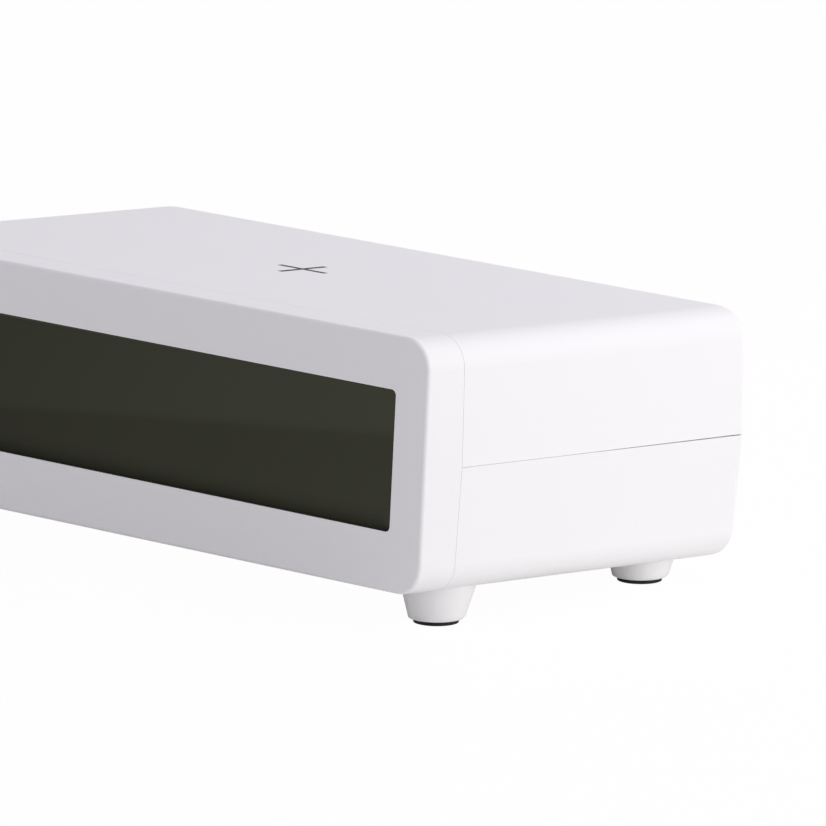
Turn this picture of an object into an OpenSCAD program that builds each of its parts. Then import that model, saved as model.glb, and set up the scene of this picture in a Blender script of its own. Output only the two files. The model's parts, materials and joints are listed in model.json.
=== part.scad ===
// Bedside alarm clock with a wireless charging top.
// The body is drawn level, from its front face (y = 0) to the rear and from its underside (z = 0) up.
// The stance module then leans it back on its feet, with the floor at z = 0 and the origin under its middle.

/* [Body] */
// Width across the parting line
body_w = 188; // [170:1:220]
// Depth from the front face to the rear wall
body_d = 101.5; // [96:0.5:130]
// Height of the body without its feet
body_h = 56.1; // [52:0.1:70]
// Height of the parting line above the underside
parting_z = 27.9; // [25:0.1:32]
// Wall thickness of the mouldings
wall = 2.2; // [1.8:0.1:2.8]
// Radius of the two upper long edges
top_corner_r = 7.1; // [6:0.1:10]
// Radius of the two lower long edges
low_corner_r = 6.8; // [5:0.1:10]
// Radius of the edges round the rear wall
back_r = 1.9; // [1:0.1:3]
// Draft of the upper case's walls, in degrees
draft_upper = 1.8; // [0.5:0.1:3]
// Draft of the lower case's walls, in degrees
draft_lower = 1.9; // [0.5:0.1:3]
// Backward lean of the body, in degrees
lean = 3; // [1:0.5:5]
// Open height of the parting seam at the front
seam_front = 0.07; // [0.04:0.01:0.2]
// Open height of the parting seam at the rear
seam_rear = 0.27; // [0.2:0.01:0.6]
// Height of the lip that stands inside the parting seam
lip_h = 1.4; // [1:0.1:2.5]

/* [Front] */
// Depth of the front bezel
bezel_d = 10.8; // [9:0.1:14]
// Inset of the front outline on each side
front_inset = 0.9; // [0.3:0.05:1.2]
// Radius of the front edge
front_edge_r = 0.8; // [0.4:0.1:1.5]
// Groove along the seam between the bezel and the cases
groove = 0.14; // [0.05:0.01:0.4]
// Thickness of the front face
face_t = 2.6; // [2.2:0.1:3.4]
// Thickness of the lip round the window
window_lip = 0.8; // [0.5:0.1:1.2]
// Margin beside the window
window_side = 9.6; // [8:0.1:14]
// Margin above the window
window_top = 11.9; // [10:0.1:16]
// Margin below the window
window_bottom = 13.1; // [11:0.1:17]
// Corner radius of the window opening
window_r = 1.3; // [0.8:0.1:4]
// Depth of the window's face behind the front face
window_sunk = 0.05; // [0.02:0.01:0.2]
// Width of the soft edge round the window's face
window_edge_w = 3; // [0.5:0.1:4]
// Depth of that soft edge
window_edge_d = 0.06; // [0.04:0.01:0.5]
// Width of the ledge that holds the window
ledge = 1.5; // [1:0.1:2]
// Length of the bezel's tongue inside the cases
tongue_l = 3.5; // [3:0.25:5]
// Thickness of the bezel's tongue
tongue_t = 1.6; // [1.2:0.1:2.2]
// Length of the thickened wall in front of the tongue
shoulder_l = 3; // [2:0.25:4]
// Width of each clip on the tongue
clip_w = 12; // [8:1:16]
// Height of each clip on the tongue
clip_h = 0.5; // [0.3:0.05:0.8]
// Spacing of the clips
clip_pitch = 55; // [40:1:65]

/* [Display] */
// Thickness of the light mask behind the window
mask_t = 1.5; // [1:0.1:2]
// Width of the mask's frame inside the opening
mask_in = 2; // [1:0.25:4]
// Depth of the digit reflector
reflector_d = 6; // [5:0.25:7]
// Height of a digit between the middles of its bars
digit_h = 20; // [16:0.5:22]
// Width of a digit between the middles of its bars
digit_w = 13; // [10:0.5:15]
// Spacing of the digits
digit_pitch = 25; // [22:0.5:30]
// Extra space for the colon
colon_gap = 9; // [7:0.5:14]
// Width of a digit's bars
bar_w = 3; // [2:0.1:4]
// Thickness of the circuit boards
board_t = 1.6; // [1:0.1:2]

/* [Feet] */
// Distance of a foot's axis from the side
foot_inset_x = 13.6; // [12:0.1:20]
// Distance of a front foot's axis from the front face
foot_inset_front = 19.2; // [18:0.1:25]
// Distance of a rear foot's axis from the rear wall
foot_inset_rear = 17.5; // [16:0.1:25]
// Clearance under the body at the rear feet
rear_clear = 5.3; // [5:0.1:9]
// Radius of a foot's cone at the floor
foot_end_r = 5.9; // [5.7:0.1:7]
// Taper of a foot's side, in degrees
foot_taper = 16; // [8:0.5:20]
// Radius of a foot's lower edge
toe_r = 0.6; // [0.4:0.1:2]
// Width of the flat rim round a foot pad
toe_rim = 0.7; // [0.3:0.1:1]
// Thickness of the floor of a foot, under its screw
foot_web = 1.2; // [1:0.1:1.6]
// Radius of the spigot on a foot
spigot_r = 4.6; // [4:0.1:6]
// Height of the spigot on a foot
spigot_h = 0.9; // [0.6:0.1:1.2]
// Radius of a foot pad
pad_r = 5; // [4.2:0.1:5.2]
// Thickness of a foot pad
pad_t = 1; // [0.6:0.1:1.2]

/* [Screws] */
// Radius of the case screws
screw_r = 1.5; // [1.25:0.05:1.75]
// Radius of a case screw's head
screw_head_r = 2.8; // [2.4:0.1:3]
// Height of a case screw's head
screw_head_h = 2; // [1.5:0.1:2.4]
// Length of a case screw in its upper post
screw_bite = 12; // [8:0.5:16]
// Radius of the case posts
post_r = 3.6; // [3:0.1:4]
// Height of the lower posts above the floor of the lower case
post_h = 6; // [4:0.5:10]
// Radius of the small screws
small_r = 1; // [0.8:0.05:1.1]
// Radius of a small screw's head
small_head_r = 1.8; // [1.5:0.1:2]
// Height of a small screw's head
small_head_h = 1.2; // [0.8:0.1:1.4]
// Length of a small screw in its post
small_bite = 4.5; // [3:0.5:5]
// Radius of the small posts
boss_r = 2.2; // [2:0.1:2.6]

/* [Buttons] */
// Height of the buttons' axis above the underside
control_z = 14; // [12.5:0.1:16]
// Middle of the row of buttons
button_x = -26; // [-32:1:-20]
// Spacing of the buttons
button_pitch = 14; // [12:0.5:15]
// Radius of a button
button_r = 3.5; // [2.5:0.1:4]
// Height of a button above the rear wall
button_proud = 0.8; // [0.6:0.1:1.4]
// Travel of a button
button_travel = 0.5; // [0.3:0.05:0.8]
// Chamfer of a button's face
button_chamfer = 0.4; // [0.2:0.05:0.6]
// Width of the flange that keeps a button in
flange_w = 1; // [0.6:0.1:1.5]
// Thickness of that flange
flange_t = 1.2; // [0.8:0.1:1.6]
// Radius of a button's plunger
plunger_r = 1.6; // [1.2:0.1:2]
// Length of a button's plunger
plunger_l = 2; // [1.5:0.1:3]
// Side of a switch body
switch_w = 6.2; // [5:0.1:7]
// Depth of a switch body
switch_d = 4; // [3.4:0.1:5]
// Radius of a switch stem
stem_r = 1.5; // [1:0.1:1.8]
// Length of a switch stem outside its body
stem_l = 1.5; // [1.2:0.1:2]
// Length of a switch stem inside its body
stem_in = 1.2; // [1:0.1:1.5]

/* [Inlet and boards] */
// Place of the power inlet across the rear wall
usb_x = 50; // [45:1:56]
// Width of the inlet's shell
usb_w = 8.9; // [8:0.1:9.5]
// Height of the inlet's shell
usb_h = 3.3; // [3:0.1:3.8]
// Length of the inlet's shell
usb_l = 7.4; // [6.5:0.1:8.5]
// Thickness of the inlet's shell
usb_t = 0.3; // [0.2:0.05:0.4]
// Depth of the inlet's mouth behind the rear wall
usb_sunk = 0.4; // [0.2:0.1:0.8]
// Place of the buzzer across the rear wall
buzzer_x = 26; // [22:1:30]
// Radius of the buzzer
buzzer_r = 6; // [5:0.25:7]
// Height of the buzzer
buzzer_h = 6.5; // [4:0.25:8]
// Radius of a sound hole
sound_r = 0.8; // [0.5:0.1:1]
// Spacing of the sound holes
sound_pitch = 3.4; // [2.6:0.1:4]
// Depth of the main board
main_d = 30; // [26:0.5:32]
// Width of the charger board
charger_w = 52; // [46:1:54]
// Depth of the charger board
charger_d = 32; // [28:1:34]
// Place of the charger board's middle across the body
charger_x = 38; // [36:1:42]
// Pin pitch of the chips, in which their sizes are counted
chip_pitch = 1; // [0.8:0.05:1.2]

/* [Charger] */
// Radius of the coil's first turn
coil_r = 10.5; // [8:0.25:12]
// Number of turns in the coil
coil_turns = 9; // [5:1:10]
// Width of the coil's wire
coil_wire = 0.9; // [0.7:0.05:1]
// Space between the coil's turns
coil_space = 0.45; // [0.35:0.05:0.6]
// Thickness of the coil
coil_t = 1; // [0.8:0.1:1.4]
// Space between the coil and the top
coil_clear = 1.4; // [1.3:0.1:2]
// Radius of the coil's leads
lead_r = 0.5; // [0.4:0.05:0.5]
// Radius of the ferrite sheet
ferrite_r = 25; // [24.5:0.5:27]
// Thickness of the ferrite sheet
ferrite_t = 1; // [0.6:0.1:1.5]
// Width of the coil tray
tray_w = 68; // [66:1:72]
// Depth of the coil tray
tray_d = 54; // [54:1:60]
// Thickness of the coil tray
tray_t = 1.8; // [1.4:0.1:2.4]

/* [Back-up cell] */
// Place of the cell door's middle across the body
door_x = -42; // [-46:1:-38]
// Place of the cell door's middle behind the front face
door_y = 44; // [40:1:48]
// Width of the cell door
door_w = 31; // [31:0.5:34]
// Depth of the cell door
door_d = 24; // [23:0.5:26]
// Thickness of the cell door
door_t = 1.4; // [1.2:0.1:1.6]
// Corner radius of the cell door
door_r = 1.8; // [1:0.1:3]
// Radius of the cell
cell_r = 10; // [8:0.25:10]
// Thickness of the cell
cell_t = 3.2; // [2.5:0.1:3.4]
// Thickness of the contact above the cell
contact_t = 0.6; // [0.4:0.1:0.8]

/* [Fits] */
// Clearance between parts that are fixed together
fit = 0.15; // [0.1:0.01:0.25]
// Clearance round a part that slides
slide_fit = 0.2; // [0.12:0.01:0.3]
// Clearance round a screw's shank in a hole that it passes through
screw_fit = 0.25; // [0.15:0.05:0.4]
// Clearance round a screw's shank in the hole that it bites
thread_fit = 0.04; // [0.02:0.01:0.06]

/* [Hidden] */
$fn = 48;
// Steps along each long edge, round each rear corner, along each small edge and over the window's edge
arc_steps = 14;
back_steps = 6;
edge_steps = 5;
window_steps = 6;
// Overshoot of cuts and overlap of joined shapes
over = 1;
// Least radius of a corner that is drawn in
inner_r = 0.4;

upper_h = body_h - parting_z;
lower_h = parting_z;
seam_y = bezel_d;
rear_edge_y = body_d - (upper_h - back_r) * tan(draft_upper) - back_r / cos(draft_upper);
// The coil lies under the middle of the upper case's flat top
coil_y = (seam_y + rear_edge_y) / 2;
bezel_inset = wall + fit + tongue_t;
// Slight draft of the front outline's sides, in degrees
front_draft = 0.15;
// Depth at which the parting seam starts to open, as a share of the body's depth
seam_open = 0.42;
seam_open_y = seam_open * body_d;

// Feet, and the lean that they give
foot_x = body_w / 2 - foot_inset_x;
foot_front_y = foot_inset_front;
foot_rear_y = body_d - foot_inset_rear;
foot_rise = low_corner_r / 2;
cup_flare = 25;
join_z = wall + post_h;
front_reach = front_edge_r * (cos(lean) + sin(lean) - 1);
top_reach = rear_edge_y * cos(lean) + (body_h - back_r) * sin(lean) + back_r;
waist_reach = body_d * cos(lean) + parting_z * sin(lean);
middle_y = (front_reach + max(top_reach, waist_reach)) / (2 * cos(lean));
lift = (foot_rear_y - middle_y) * sin(lean) + rear_clear * cos(lean);

// Window and display
win_w = body_w - 2 * (front_inset + window_side);
win_h = body_h - window_top - window_bottom;
win_z = window_bottom + win_h / 2;
panel_h = win_h + 2 * ledge;
mask_y = face_t;
reflector_y = mask_y + mask_t;
display_y = reflector_y + reflector_d;
display_back = display_y + board_t;
display_screw_inset = 6;
board_rim = 0.4;
display_screw_x = win_w / 2 - display_screw_inset;
display_screw_z = panel_h / 2 + 2 * fit + boss_r;
display_ear = boss_r + board_rim;
display_h = 2 * (display_screw_z + display_ear);
// Space between the ends of neighbouring bars, as a share of a bar's width
bar_gap = 0.2;

// Buttons and switches, from the rear wall inwards
flange_r = button_r + flange_w;
rest_gap = 0.05;
flange_y = back_inner(control_z - flange_r) - rest_gap;
cap_y = back_outer(control_z) + button_proud;
stem_tip_y = flange_y - flange_t - plunger_l;
switch_y = stem_tip_y - stem_l;

// Boards
board_top = control_z - switch_w / 2;
board_z = board_top - board_t;
board_edge = 0.5;
board_gap = 3;
main_back = switch_y + board_edge;
main_front = main_back - main_d;
main_half = foot_x - post_r - board_gap;
hole_edge = 4.5;
main_holes = [for (sx = [-1, 1], y = [main_front + hole_edge, main_back - hole_edge])
    [sx * (main_half - hole_edge), y]];
charger_set = 11;
charger_y = coil_y - charger_set;
charger_holes = [for (sx = [-1, 1], sy = [-1, 1])
    [charger_x + sx * (charger_w / 2 - hole_edge), charger_y + sy * (charger_d / 2 - hole_edge)]];
board_holes = concat(main_holes, charger_holes);
usb_z = board_top + usb_h / 2;
usb_mouth = back_outer(usb_z) - usb_sunk;
usb_plate = 1.5;
usb_tongue_t = usb_h / 5;
usb_tab_rim = 4;
usb_tab_gap = 0.6;
usb_tab_w = usb_w + 2 * usb_tab_rim;
usb_tab_back = back_inner(board_z) - usb_tab_gap;
buzzer_edge = 2;
buzzer_port_r = 1;
buzzer_y = main_back - buzzer_r - buzzer_edge;
// Chips: place as shares of their board's half width and half depth, and size in pin pitches
main_chips = [[[-0.4, -0.35], [10, 10, 1.4]], [[-0.7, -0.25], [5, 6, 1.5]], [[0.62, 0], [6, 5, 1.6]]];
charger_chips = [[[-0.4, 0], [7, 7, 1]], [[-0.3, -0.6], [10, 5, 3]]];

// Charging stack, from the top down
coil_top = body_h - wall - coil_clear;
coil_z = coil_top - coil_t;
ferrite_z = coil_z - ferrite_t;
tray_z = ferrite_z - tray_t;
coil_step = coil_wire + coil_space;
coil_end = coil_r + coil_turns * coil_step;
tray_hole_edge = 4;
tray_holes = [for (sx = [-1, 1], sy = [-1, 1])
    [sx * (tray_w / 2 - tray_hole_edge), coil_y + sy * (tray_d / 2 - tray_hole_edge)]];
lead_z = coil_top + lead_r + fit;
lead_half = 1.2;
lead_bend = 3;
lead_tail_r = 0.8 * lead_r;
lead_x = tray_w / 2 + 2 * lead_bend;
plug_w = 6;
plug_d = 8;
plug_h = 6;

// Back-up cell
cell_shift = -2.8;
cell_x = door_x + cell_shift;
cell_room = 0.3;
cell_step = 0.6;
contact_w = 4;
contact_half = 0.7 * cell_r;
cell_roof = door_t + cell_t + contact_t;
bay_wall = 1.6;
bay_top = cell_roof + bay_wall;
door_screw_edge = 1.6;
door_screw_x = door_x + door_w / 2 - small_head_r - door_screw_edge;
door_head_h = 0.7;
tab_w = 8;
tab_l = 1.4;
tab_t = 0.8;

// Ribbon between the boards
ribbon_x = -4;
ribbon_w = 14;
ribbon_t = 0.3;
ribbon_run = 8;
socket_w = 18;
socket_d = 4;
socket_h = 3;
ribbon_low = board_top + socket_h / 2;
ribbon_high = (ribbon_low + win_z) / 2;

// Rear wall of the lower case at a height, outside and inside
function back_outer(z) = body_d - (parting_z - z) * tan(draft_lower);
function back_inner(z) = back_outer(z) - wall;

// Distance from the underside to the floor, along a foot's axis
function foot_drop(y) = rear_clear + (foot_rear_y - y) * tan(lean);

// A point of the level body, after the body is set on its feet
function stance_point(p) = [
    p[0],
    (p[1] - middle_y) * cos(lean) + p[2] * sin(lean),
    lift - (p[1] - middle_y) * sin(lean) + p[2] * cos(lean)
];

// Reach of a drafted wall at a height above the parting plane, with its rounded edge
function wall_at(u, h, reach, r, draft) =
    let (uc = h - r, c = reach - uc * tan(draft) - r / cos(draft))
    u <= uc + r * sin(draft) ? reach - u * tan(draft) : c + sqrt(max(0, r * r - (u - uc) * (u - uc)));

// Outline of a case half at one height: straight in front, rounded at the rear corners
function plan_points(x, y, y_front, r) = concat(
    [[x, y_front]],
    [for (i = [0:back_steps]) let (a = 90 * i / back_steps) [x - r + r * cos(a), y - r + r * sin(a)]],
    [for (i = [0:back_steps]) let (a = 90 + 90 * i / back_steps) [r - x + r * cos(a), y - r + r * sin(a)]],
    [[-x, y_front]]
);

// Rings of a case half, from the parting plane outwards
function half_rings(h, edge_r, draft, inset, y_front, start) =
    let (
        top = h - inset,
        r = edge_r - inset,
        rb = max(back_r - inset, inner_r),
        arc = [for (i = [0:arc_steps]) top - r + r * sin(draft + (90 - draft) * i / arc_steps)]
    )
    [for (u = concat([start], arc))
        let (
            x = wall_at(u, top, body_w / 2 - inset, r, draft),
            y = wall_at(u, top, body_d - inset, rb, draft)
        )
        [for (p = plan_points(x, y, y_front, rb)) [p[0], p[1], u]]];

// One rounded corner of the cross-section, as points out of the parting plane
function corner_arc(h, reach, r, draft) =
    let (uc = h - r, c = reach - uc * tan(draft) - r / cos(draft))
    [for (i = [0:arc_steps]) let (a = draft + (90 - draft) * i / arc_steps)
        [c + r * cos(a), uc + r * sin(a)]];

function turned(points) = [for (i = [len(points) - 1:-1:0]) points[i]];

// Cross-section of the body, parallel to the front face, set in by an inset
function section_points(inset, reach = body_w / 2, up = draft_upper, down = draft_lower) =
    let (
        high = corner_arc(upper_h - inset, reach - inset, top_corner_r - inset, up),
        low = corner_arc(lower_h - inset, reach - inset, low_corner_r - inset, down)
    )
    concat(
        [[reach - inset, parting_z]],
        [for (p = high) [p[0], parting_z + p[1]]],
        [for (p = turned(high)) [-p[0], parting_z + p[1]]],
        [[inset - reach, parting_z]],
        [for (p = low) [-p[0], parting_z - p[1]]],
        [for (p = turned(low)) [p[0], parting_z - p[1]]]
    );

// Solid between outlines that have the same number of points
module loft(rings) {
    n = len(rings[0]);
    last = (len(rings) - 1) * n;
    points = [for (ring = rings) each ring];
    sides = [for (i = [0:len(rings) - 2], j = [0:n - 1])
        let (a = i * n + j, b = i * n + (j + 1) % n)
        each [[a, a + n, b + n], [a, b + n, b]]];
    caps = [[for (j = [0:n - 1]) j], [for (j = [n - 1:-1:0]) last + j]];
    polyhedron(points, concat(sides, caps));
}

// Extrusion of a front-view outline between two depths
module along_y(from, to) {
    translate([0, to, 0]) rotate([90, 0, 0]) linear_extrude(to - from) children();
}

// Turned shape whose axis runs to the rear
module turned_y(x, z) {
    translate([x, 0, z]) rotate([-90, 0, 0]) rotate_extrude() children();
}

module section(inset) {
    polygon(section_points(inset));
}

module rounded(w, h, r) {
    square([w - 2 * r, h], center = true);
    square([w, h - 2 * r], center = true);
    for (sx = [-1, 1], sy = [-1, 1]) translate([sx * (w / 2 - r), sy * (h / 2 - r)]) circle(r);
}

// Round hole or post through a height
module rod(at, from, to, r) {
    translate([at[0], at[1], from]) cylinder(h = to - from, r = r);
}

// Upright cylinder between two heights
module cylinder_between(from, to, r) {
    rod([0, 0], from, to, r);
}

// Level body set on its feet
module stance() {
    translate([0, 0, lift]) rotate([-lean, 0, 0]) translate([0, -middle_y, 0]) children();
}

module upper_block(inset, y_front, start) {
    translate([0, 0, parting_z])
        loft(half_rings(upper_h, top_corner_r, draft_upper, inset, y_front, start));
}

module lower_block(inset, y_front, start) {
    translate([0, 0, parting_z]) mirror([0, 0, 1])
        loft(half_rings(lower_h, low_corner_r, draft_lower, inset, y_front, start));
}

// Upright band inside the walls at the parting plane
module lip_band(inset, y_front, from, to) {
    translate([0, 0, from]) linear_extrude(to - from)
        polygon(plan_points(body_w / 2 - inset, body_d - inset, y_front, max(back_r - inset, inner_r)));
}

// Front frame

// Outer form: a straight-sided front outline with a rounded edge, drawn out to the section of the cases
module bezel_block() {
    reach = body_w / 2 - front_inset;
    front = [for (i = [0:edge_steps])
        let (a = 90 * i / edge_steps, y = front_edge_r * (1 - cos(a)), inset = front_edge_r * (1 - sin(a)))
        [for (p = section_points(inset, reach, front_draft, front_draft)) [p[0], y, p[1]]]];
    rear = [for (s = [[seam_y - groove, 0], [seam_y, groove]])
        [for (p = section_points(s[1])) [p[0], s[0], p[1]]]];
    loft(turned(concat(front, rear)));
}

module window_opening(margin, r) {
    translate([0, win_z]) rounded(win_w + 2 * margin, win_h + 2 * margin, r);
}

// Outline of the window, drawn in by an inset, at one depth
function window_ring(inset, y) =
    let (r = max(window_r - inset, inner_r), x = win_w / 2 - inset - r, z = win_h / 2 - inset - r)
    [for (c = [[1, 1], [-1, 1], [-1, -1], [1, -1]], i = [0:edge_steps])
        let (a = atan2(c[1], c[0]) - 45 + 90 * i / edge_steps)
        [c[0] * x + r * cos(a), y, win_z + c[1] * z + r * sin(a)]];

module at_display_screws() {
    for (sx = [-1, 1], sz = [-1, 1])
        translate([sx * display_screw_x, win_z + sz * display_screw_z]) children();
}

module at_clips() {
    for (i = [-1:1]) translate([i * clip_pitch, seam_y + tongue_l / 2, 0]) children();
}

// Wedges on the tongue that snap into the cases, or the pockets for them
module clips(gap) {
    reach = clip_h - fit + gap;
    half = tongue_l / 4 + gap;
    for (side = [[wall, -1], [body_h - wall, 1]])
        at_clips() translate([-clip_w / 2 - gap, 0, side[0]]) rotate([90, 0, 90])
            linear_extrude(clip_w + 2 * gap) scale([1, side[1]])
                polygon([[-half, -over / 2], [half, -over / 2], [half, reach], [-half, reach]]);
}

module front_bezel() {
    color("white") stance() difference() {
        union() {
            difference() {
                union() {
                    bezel_block();
                    along_y(seam_y - over, seam_y + tongue_l) section(wall + fit);
                    clips(0);
                }
                along_y(face_t, seam_y - shoulder_l) section(wall);
                along_y(seam_y - shoulder_l - over, seam_y + tongue_l + over) section(bezel_inset);
            }
            along_y(face_t - over, display_y) at_display_screws() circle(boss_r);
        }
        along_y(-over, face_t + over) window_opening(0, window_r);
        along_y(window_lip, face_t + over) window_opening(ledge + fit, window_r + ledge);
        along_y(face_t, display_y + over) at_display_screws() circle(small_r + thread_fit);
        along_y(display_y, seam_y + tongue_l + over) translate([0, win_z])
            square([win_w + 2 * fit, display_h + 2 * fit], center = true);
        for (sx = [-1, 1]) rod([sx * foot_x, foot_front_y], -over, body_h + over, post_r + fit);
    }
}

// Dark pane: a plate behind the lip, with a soft-edged face that fills the opening
module display_window() {
    face = [for (i = [0:window_steps])
        let (a = 90 * i / window_steps)
        window_ring(fit + window_edge_w * (1 - cos(a)), window_sunk + window_edge_d * (1 - sin(a)))];
    root = window_ring(fit, (window_lip + face_t) / 2);
    color("#2b2b24") stance() {
        loft(concat([root], face));
        along_y(window_lip, face_t) window_opening(ledge, window_r + ledge - fit);
    }
}

module light_mask() {
    color("#161616") stance() along_y(mask_y, reflector_y) difference() {
        window_opening(ledge, window_r + ledge - fit);
        window_opening(-mask_in, window_r);
    }
}

// One bar of a digit, pointed at both ends
module bar(l, w) {
    polygon([[-l / 2, 0], [(w - l) / 2, w / 2], [(l - w) / 2, w / 2],
        [l / 2, 0], [(l - w) / 2, -w / 2], [(w - l) / 2, -w / 2]]);
}

// Four seven-bar digits and a colon, drawn in by a gap
module digits(gap) {
    row = bar_w * bar_gap + 2 * gap;
    for (i = [0:3]) {
        x = (i - 1.5) * digit_pitch + (i < 2 ? -1 : 1) * colon_gap / 2;
        translate([x, win_z]) {
            for (k = [-1:1]) translate([0, k * digit_h / 2]) bar(digit_w - row, bar_w - 2 * gap);
            for (sx = [-1, 1], sz = [-1, 1]) translate([sx * digit_w / 2, sz * digit_h / 4])
                rotate(90) bar(digit_h / 2 - row, bar_w - 2 * gap);
        }
    }
    for (sz = [-1, 1]) translate([0, win_z + sz * digit_h / 4]) circle(bar_w / 2 - gap);
}

module digit_reflector() {
    color("#1d1d1d") stance() along_y(reflector_y, display_y) difference() {
        window_opening(0, window_r);
        digits(0);
    }
}

module digit_segments() {
    color("#4a4640") stance() along_y(reflector_y, display_y) digits(fit / 2);
}

module display_board() {
    color("#1e5a34") stance() along_y(display_y, display_back) difference() {
        translate([0, win_z]) square([win_w, display_h], center = true);
        at_display_screws() circle(small_r + screw_fit);
    }
}

module display_screws() {
    color("silver") stance() {
        along_y(display_y - small_bite, display_back + over / 2) at_display_screws() circle(small_r);
        along_y(display_back, display_back + small_head_h) at_display_screws() circle(small_head_r);
    }
}

// Cases

module at_posts() {
    for (sx = [-1, 1], y = [foot_front_y, foot_rear_y]) translate([sx * foot_x, y, 0]) children();
}

// Space under the upper case's edge, even in front and opening towards the rear
module seam_wedge() {
    y_start = seam_y - over;
    y_end = body_d + over;
    translate([-body_w, 0, parting_z]) rotate([90, 0, 90]) linear_extrude(2 * body_w)
        polygon([[y_start, -over], [y_end, -over], [y_end, seam_rear], [seam_open_y, seam_front],
            [y_start, seam_front]]);
}

module upper_case() {
    color("white") stance() difference() {
        union() {
            difference() {
                upper_block(0, seam_y, 0);
                upper_block(wall, seam_y - over, -over);
                seam_wedge();
                lip_band(wall / 2, seam_y - over, parting_z - over, parting_z + lip_h + 2 * fit);
                clips(fit);
            }
            at_posts() cylinder_between(join_z, body_h - wall / 2, post_r);
            for (p = tray_holes) rod(p, ferrite_z, body_h - wall / 2, boss_r);
        }
        at_posts() cylinder_between(join_z - over, join_z + screw_bite + over, screw_r + thread_fit);
        for (p = tray_holes) rod(p, ferrite_z - over, coil_top + fit, small_r + thread_fit);
    }
}

module at_buttons() {
    for (i = [-2:2]) translate([button_x + i * button_pitch, 0, 0]) children();
}

// Oval of the power inlet, drawn out by a margin
module inlet_oval(margin) {
    h = usb_h + 2 * margin;
    translate([usb_x, usb_z]) {
        square([usb_w - usb_h, h], center = true);
        for (sx = [-1, 1]) translate([sx * (usb_w - usb_h) / 2, 0]) circle(h / 2);
    }
}

// A ring of holes round one in the middle
module sound_holes() {
    translate([buzzer_x, control_z]) {
        circle(sound_r);
        for (a = [0:60:300]) rotate(a) translate([sound_pitch, 0]) circle(sound_r);
    }
}

module cell_bay_outline(margin) {
    translate([door_x, door_y]) rounded(door_w + 2 * margin, door_d + 2 * margin, door_r + margin);
}

// Pocket for the cell, with the rebate for its door and the slot for the door's tab
module cell_pocket() {
    rod([cell_x, door_y], -over, cell_roof, cell_r + cell_room);
    translate([0, 0, -over]) linear_extrude(over + door_t) cell_bay_outline(fit);
    translate([door_x - door_w / 2 - tab_l - fit, door_y - tab_w / 2 - fit, door_t - tab_t - fit])
        cube([tab_l + over, tab_w + 2 * fit, tab_t + 2 * fit]);
    rod([door_screw_x, door_y], 0, door_t + small_bite, small_r + thread_fit);
}

module lower_case() {
    color("white") stance() difference() {
        union() {
            difference() {
                lower_block(0, seam_y, 0);
                lower_block(wall, seam_y - over, -over);
                clips(fit);
            }
            difference() {
                lip_band(wall / 2 + fit, seam_y, parting_z - wall, parting_z + lip_h);
                lip_band(wall, seam_y - over, parting_z - wall - over, parting_z + lip_h + over);
            }
            at_posts() cylinder_between(wall / 2, join_z, post_r);
            for (p = board_holes) rod(p, wall / 2, board_z, boss_r);
            translate([0, 0, wall / 2]) linear_extrude(bay_top - wall / 2) cell_bay_outline(bay_wall);
        }
        at_posts() cylinder_between(-over, join_z + over, screw_r + screw_fit);
        at_posts() cylinder_between(-over, spigot_h + fit, spigot_r + fit);
        for (p = board_holes) rod(p, board_z - small_bite - fit, board_z + over, small_r + thread_fit);
        cell_pocket();
        at_buttons() along_y(main_back, body_d + over)
            translate([0, control_z]) circle(button_r + slide_fit);
        along_y(main_back, body_d + over) sound_holes();
        along_y(main_back, body_d + over) inlet_oval(slide_fit);
    }
}

// Feet

// Upright outline of a foot's end: a flat seat for the pad with a rounded edge, opening upwards
module toe_cup() {
    seat_r = pad_r + toe_rim;
    stop = 90 - foot_taper - cup_flare;
    arc = [for (i = [0:edge_steps]) let (a = stop * i / edge_steps - 90)
        [seat_r + toe_r * cos(a), pad_t + toe_r + toe_r * sin(a)]];
    end = arc[edge_steps];
    run = 2 * foot_drop(foot_front_y);
    far = [end[0] + run * tan(foot_taper + cup_flare), end[1] + run];
    rotate_extrude() polygon(concat([[0, pad_t]], arc, [far, [0, far[1]]]));
}

// Tapered foot, square to the underside, with a level end
module foot(side, y) {
    x = side * foot_x;
    drop = foot_drop(y);
    rise = drop + foot_rise;
    floor_at = stance_point([x, y, -drop]);
    color("white") difference() {
        union() {
            difference() {
                intersection() {
                    stance() translate([x, y, -drop])
                        cylinder(h = rise, r1 = foot_end_r, r2 = foot_end_r + rise * tan(foot_taper));
                    translate(floor_at) toe_cup();
                }
                stance() along_y(-over, body_d + over) section(0);
            }
            stance() rod([x, y], -foot_web, spigot_h, spigot_r);
        }
        stance() rod([x, y], -foot_web - over, spigot_h + over, screw_r + screw_fit);
        stance() rod([x, y], -drop - over, -foot_web, screw_head_r + screw_fit);
    }
}

module pad(side, y) {
    color("#1a1a1a") translate(stance_point([side * foot_x, y, -foot_drop(y)]))
        cylinder(h = pad_t, r = pad_r);
}

module case_screws() {
    color("silver") stance() at_posts() {
        cylinder_between(-foot_web - screw_head_h, -foot_web, screw_head_r);
        cylinder_between(-foot_web - screw_head_h, join_z + screw_bite, screw_r);
    }
}

// Boards and what they carry

module board_outline(w, d) {
    difference() {
        square([w, d], center = true);
        for (sx = [-1, 1], sy = [-1, 1])
            translate([sx * (w / 2 - hole_edge), sy * (d / 2 - hole_edge)]) circle(small_r + screw_fit);
    }
}

module main_board() {
    color("#1e5a34") stance() translate([0, 0, board_z]) linear_extrude(board_t) {
        translate([0, main_back - main_d / 2]) board_outline(2 * main_half, main_d);
        translate([usb_x - usb_tab_w / 2, main_back - over])
            square([usb_tab_w, usb_tab_back - main_back + over]);
    }
}

module charger_board() {
    color("#1e5a34") stance() translate([charger_x, charger_y, board_z]) linear_extrude(board_t)
        board_outline(charger_w, charger_d);
}

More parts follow.
